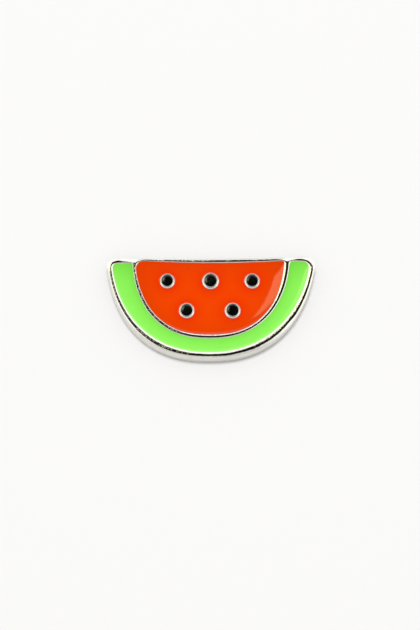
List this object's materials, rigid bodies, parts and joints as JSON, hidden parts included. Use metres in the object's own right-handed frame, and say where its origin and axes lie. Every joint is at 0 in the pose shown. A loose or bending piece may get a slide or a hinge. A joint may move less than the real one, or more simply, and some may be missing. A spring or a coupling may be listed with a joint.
{
  "type": "enamel pin badge",
  "caption": "Flat-backed metal badge shaped like a slice of watermelon, with a raised polished rim and lines round recessed green, red and black enamel.",
  "frame": {"origin": "middle of the badge's length and height, on its flat back face", "axes": "+X along the slice, +Y towards its straight cut edge, +Z out of its face"},
  "size_m": [0.0255, 0.0131, 0.002],
  "materials": {
    "polished_nickel": "polished nickel plating, slightly uneven",
    "green_enamel": "glossy bright green soft enamel",
    "red_enamel": "glossy orange-red soft enamel",
    "black_enamel": "glossy black soft enamel"
  },
  "bodies": {
    "root": {"metal_plate": "polished_nickel", "rind_enamel": "green_enamel", "flesh_enamel": "red_enamel", "seed_1": "black_enamel", "seed_2": "black_enamel", "seed_3": "black_enamel", "seed_4": "black_enamel", "seed_5": "black_enamel"}
  },
  "joints": []
}
